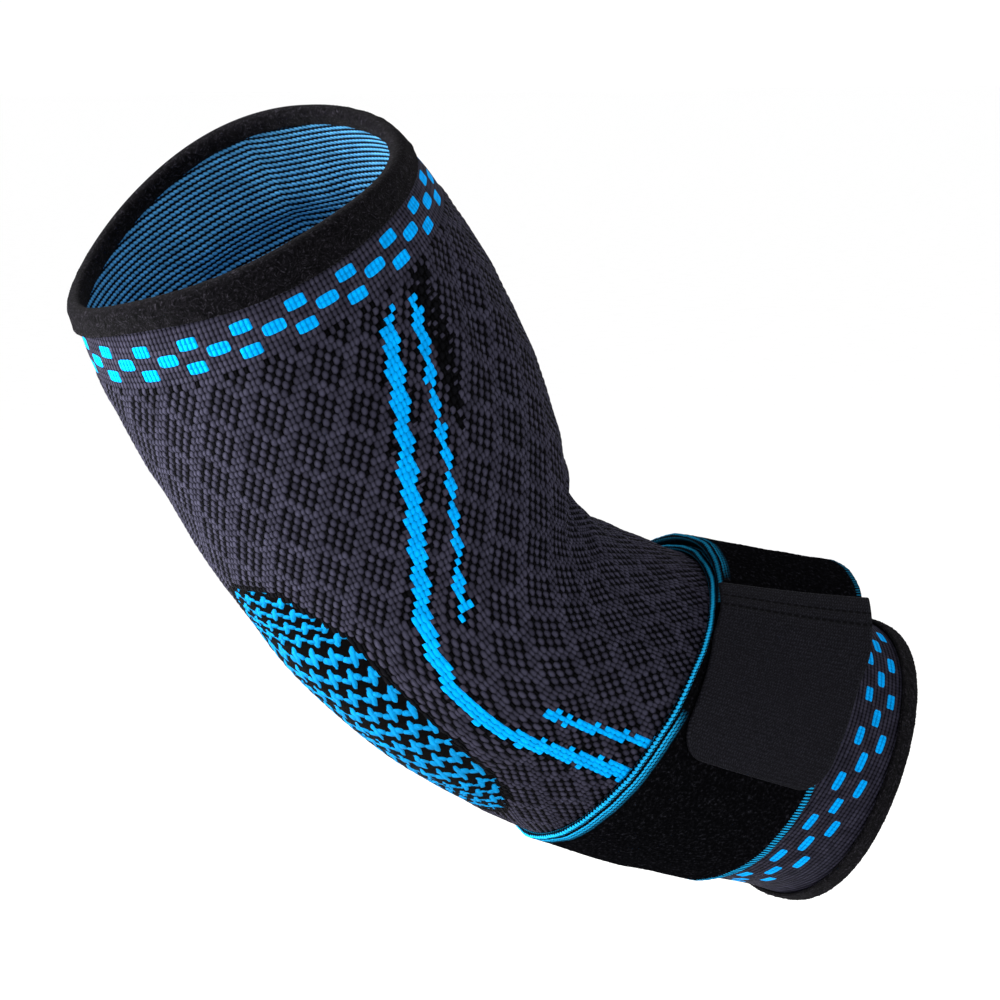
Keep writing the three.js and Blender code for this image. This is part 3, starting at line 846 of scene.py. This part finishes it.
# Loop webbing of black nylon with blue edge threads: a dull mat of tiny loops, firm woven edges, and on
# the elbow side a twisted cord
def webbingMaterial():
    material, tree = startMaterial("nylonLoopWebbing")
    web = readLayer(tree, "web")
    parts = splitParts(tree, web)
    place = objectPlace(tree)
    # Elbow side: dashes 1.1 mm long in rows of 0.9 mm, every other row shifted by half
    row = calc(tree, "DIVIDE", parts[1], strap["threadRow"])
    odd = calc(tree, "FLOOR", row)
    along = calc(tree, "DIVIDE", parts[0], strap["threadLength"])
    along = calc(tree, "MULTIPLY_ADD", odd, 0.5, along)
    thread = unitSquare(tree, joinParts(tree, along, row))
    thread = domeHeight(tree, thread, (0.5, 0.46), (0.3, 0))
    share = calc(tree, "DIVIDE", parts[1], strap["width"])
    band = rampColor(tree, share, [(0, 1.0), (0.021, 1.0), (0.0215, 0.0), (0.036, 0.0), (0.0365, 1.0),
                                   (0.056, 0.85), (0.07, 0.4), (0.085, 0.0)])
    cover = scaleRange(tree, thread, -0.1, 0.25)
    # The second band ends where the tab covers it, 50 to 98 mm and from 326 mm along the strap
    for middle, half in strap["hiddenBands"]:
        covered = calc(tree, "SUBTRACT", parts[0], middle)
        covered = calc(tree, "ABSOLUTE", covered)
        covered = scaleRange(tree, covered, half + strap["hiddenFade"], half - strap["hiddenFade"])
        covered = calc(tree, "MULTIPLY", covered, calc(tree, "GREATER_THAN", share, 0.03))
        cover = calc(tree, "SUBTRACT", cover, covered, use_clamp=True)
    # Wrist side: short slanting stitches 0.95 mm apart across a band of 2.2 mm
    reach = addNode(tree, "MapRange", {0: share, 1: 0.952, 2: 0.996}, clamp=False)
    across = calc(tree, "DIVIDE", parts[0], strap["combPitch"])
    comb = unitSquare(tree, joinParts(tree, across, reach))
    comb = domeHeight(tree, comb, (0.3, 0.6), (0.6, 0))
    comb = addNode(tree, "MapRange", {0: comb, 1: 0.0, 2: 0.4, 4: 0.75})
    inComb = calc(tree, "COMPARE", reach, 0.5, 0.5)
    comb = calc(tree, "MULTIPLY", comb, inComb)
    blue = calc(tree, "MULTIPLY_ADD", cover, band, comb)
    # Painted shade: the blue is duller on top of the arm, where the webbing stands off
    paintedLitShare = calc(tree, "MULTIPLY", scaleRange(tree, parts[0], 40.0, 62.0),
                  scaleRange(tree, parts[0], 280.0, 250.0))
    azure = mixColor(tree, paintedLitShare, linearColor("#0f5a7a"), linearColor("#1b9fd8"))
    loops = addNode(tree, "TexVoronoi", {"Vector": place, "Scale": 1150.0, "Randomness": 1.0})    # 0.9 mm
    fuzz = noiseAt(tree, place, 1100.0, 3.0, 0.6)
    pile = rampColor(tree, fuzz, [(0.45, "#040405"), (0.6, "#09090b"), (0.72, "#1c1c21")])
    color = mixColor(tree, blue, pile, azure)
    back = scaleRange(tree, parts[2], -0.2, -0.6)
    color = mixColor(tree, back, color, linearColor("#04222f"))
    height = calc(tree, "MULTIPLY_ADD", loops, -0.8, fuzz)
    height = calc(tree, "MULTIPLY_ADD", blue, 0.5, height)
    bump = addBump(tree, height, 0.0005, 0.8)
    addSurface(tree, color, 0.9, 0.0, {"Normal": bump})
    return material


strapPiece = buildStrap()
strapPiece.data.materials.append(webbingMaterial())
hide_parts("forearm_strap")
print("strap wrapped")

# Hook tab

tab = {
    "thickness": 1.6, "overhang": 2, "length": 50, "endSlant": 7, "skew": 8, "skewStart": 0.05,
    "seamWidth": 9, "cornerRadius": 9, "dropClear": 2, "dropAngle": 14, "seatRadius": 42.2,
    "steps": 150, "across": 70, "edgeSteps": 4,
    "seamLines": (4.6, 7.6), "stitchPitch": 2.4, "seamDepth": 0.22, "seamHalf": 0.5, "endRound": 0.6,
    "threadPitch": 0.9,
}


tabWidth = strap["width"] + tab["overhang"]


def tabTravel(share, along):
    # Travelled angle at a share along the tab; the sewn end lies square to the tab, not to the arm
    start = strapTravel - np.degrees(tab["seamWidth"] / tab["seatRadius"])
    lean = tab["skew"] * (share - 0.5) * tabWidth / tab["length"] ** 2
    longer = tab["endSlant"] * (share - 0.5) / tab["length"]
    return start + (along * (1 + longer) - lean) * np.degrees(tab["length"] / tab["seatRadius"])


def tabPoint(share, along, height):
    # On the strap's end first, then down onto the first layer; the free corners are round
    travel = tabTravel(share, along)
    dropStart = strapTravel + tab["dropClear"]
    drop = smoothStep(travel, dropStart, dropStart + tab["dropAngle"])
    beyond = np.maximum(0, tab["length"] * along - (tab["length"] - tab["cornerRadius"]))
    trim = tab["cornerRadius"] - np.sqrt(np.maximum(0, tab["cornerRadius"] ** 2 - beyond**2))
    width = tabWidth - 2 * trim
    over, on = strapLift(travel, share) + strapLayer, strapLift(travel - 360, share) + strapLayer
    lift = over + (on - over) * drop + height
    return strapPoint(travel, share, lift, width, tab["skew"] * (along - tab["skewStart"]))


def buildTab():
    share, height = slabSection(tabWidth, tab["thickness"], tab["across"], tab["edgeSteps"])
    half, end = tab["thickness"] / 2, tab["endRound"] / tab["length"]
    arc = end * (1 - np.cos(np.linspace(0, np.pi / 2, 5)))
    along = np.unique(np.concatenate([arc, np.linspace(end, 1 - end, tab["steps"]), 1 - arc]))[:, None]
    away = np.clip(np.minimum(along, 1 - along) / end, 0, 1)
    thick = half * np.sqrt(np.clip(1 - (1 - away) ** 2, 0, 1))
    seam = 0 * along * share
    for line in tab["seamLines"]:                    # the thread pulls the cloth down along each seam line
        away = (along * tab["length"] - line) / tab["seamHalf"]
        seam = seam - tab["seamDepth"] * np.exp(-(away**2)) * (height > 0.9)
    grid = tabPoint(share, along, half + thick * height + seam)
    piece = meshObject("hookTab", grid.reshape(-1, 3), gridQuads(*grid.shape[:2], False, True))
    setLayer(piece, "web", np.stack(np.broadcast_arrays(along * tab["length"], share * tabWidth, height), -1))
    return faceOut(piece)


# Moulded hook tape with a woven nylon back: flat matte black with a fine even grain
def tabMaterial():
    material, tree = startMaterial("wovenNylonTape")
    web = readLayer(tree, "web")
    # Twill threads, drawn coarser than real at 0.9 mm so that they show: ovals on a leaning lattice
    fine = 1 / tab["threadPitch"]
    threads = calcVector(tree, "MULTIPLY", web, (fine, fine, 0))
    twill = domeHeight(tree, unitSquare(tree, threads), (0.5, 0.5), (0.45, 0.45))
    specks = noiseAt(tree, web, 2.2, 2.0, 0.6)
    weave = calc(tree, "MULTIPLY_ADD", twill, 0.16, specks)
    color = rampColor(tree, weave, [(0.35, "#09090c"), (0.55, "#0e0e12"), (0.75, "#1e1e24")])
    # Two rows of sewing, 2.4 mm a stitch, that draw the cloth in
    parts = splitParts(tree, web)
    pitch = calc(tree, "DIVIDE", parts[1], tab["stitchPitch"])
    for line in tab["seamLines"]:
        across = calc(tree, "SUBTRACT", parts[0], line - 0.5)
        sewn = unitSquare(tree, joinParts(tree, across, pitch))
        sewn = addNode(tree, "MapRange", {0: domeHeight(tree, sewn, (0.42, 0.4)), 1: 0.0, 2: 0.3})
        onLine = calc(tree, "COMPARE", across, 0.5, 0.5)
        sewn = calc(tree, "MULTIPLY", sewn, onLine)
        color = mixColor(tree, sewn, color, linearColor("#060608"))
        weave = calc(tree, "MULTIPLY_ADD", sewn, -1.2, weave)
    bump = addBump(tree, weave, 0.0003, 0.6)
    addSurface(tree, color, 0.7, 0.02, {"Normal": bump})
    return material


tabPiece = buildTab()
tabPiece.data.materials.append(tabMaterial())
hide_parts("hook_tab")
print("hook tab pressed on")

# Floor, lights and camera

studio = {
    "azimuth": -36, "elevation": 5, "distance": 1.4, "pixel": 0.263e-3, "originX": 440, "originY": 600,
    "floorDrop": 0.16, "floorSize": 30,
}


def buildFloor():
    size, low = studio["floorSize"], cadLow.z - studio["floorDrop"]
    mesh = bpy.data.meshes.new("studioFloor")
    corners = [(-size, -size, low), (size, -size, low), (size, size, low), (-size, size, low)]
    mesh.from_pydata(corners, [], [(0, 1, 2, 3)])
    floor = bpy.data.objects.new("studioFloor", mesh)
    bpy.context.scene.collection.objects.link(floor)
    material, tree = startMaterial("whitePaperRoll")     # matt paper, a little uneven
    place = objectPlace(tree)
    grain = noiseAt(tree, place, 40.0, 3.0)
    color = rampColor(tree, grain, [(0.3, "#fafafa"), (0.7, "#fdfdfd")])
    addSurface(tree, color, 0.95, 0.1, {})
    mesh.materials.append(material)


def viewAxes():
    # Right, up and back of the photograph's camera
    a, e = np.radians(studio["azimuth"]), np.radians(studio["elevation"])
    right = Vector((np.cos(a), np.sin(a), 0))
    back = Vector((np.sin(a) * np.cos(e), -np.cos(a) * np.cos(e), np.sin(e)))
    return right, back.cross(right), back


def addCamera():
    right, up, back = viewAxes()
    target = right * (500 - studio["originX"]) * studio["pixel"]
    target = target + up * (studio["originY"] - 500) * studio["pixel"]
    data = bpy.data.cameras.new("studioCamera")
    data.sensor_width = 36
    data.lens = 36 * studio["distance"] / (1000 * studio["pixel"])
    data.clip_start, data.clip_end = 0.05, 100
    camera = bpy.data.objects.new("studioCamera", data)
    bpy.context.scene.collection.objects.link(camera)
    camera.matrix_world = Matrix((
        (right.x, up.x, back.x, 0), (right.y, up.y, back.y, 0), (right.z, up.z, back.z, 0), (0, 0, 0, 1)))
    camera.location = target + back * studio["distance"]
    bpy.context.scene.camera = camera


def addLight(name, side, rise, near, size, power):
    # A square soft light, placed by metres along the camera's right, up and back, facing the elbow
    right, up, back = viewAxes()
    data = bpy.data.lights.new(name, "AREA")
    data.size, data.energy = size, power
    light = bpy.data.objects.new(name, data)
    light.location = right * side + up * rise + back * near
    light.rotation_mode = "QUATERNION"
    light.rotation_quaternion = light.location.to_track_quat("Z", "Y")
    bpy.context.scene.collection.objects.link(light)


buildFloor()
addCamera()
addLight("keyLight", -1.2, 0.3, 0.1, 0.8, 55)
addLight("topLight", 0.2, 1.4, -0.3, 1.0, 2)
world = bpy.data.worlds.new("studioAir")
world.use_nodes = True
world.node_tree.nodes["Background"].inputs["Color"].default_value = (1, 1, 1, 1)
world.node_tree.nodes["Background"].inputs["Strength"].default_value = 1.03
bpy.context.scene.world = world
bpy.context.scene.view_settings.view_transform = "Standard"
print("studio lit")
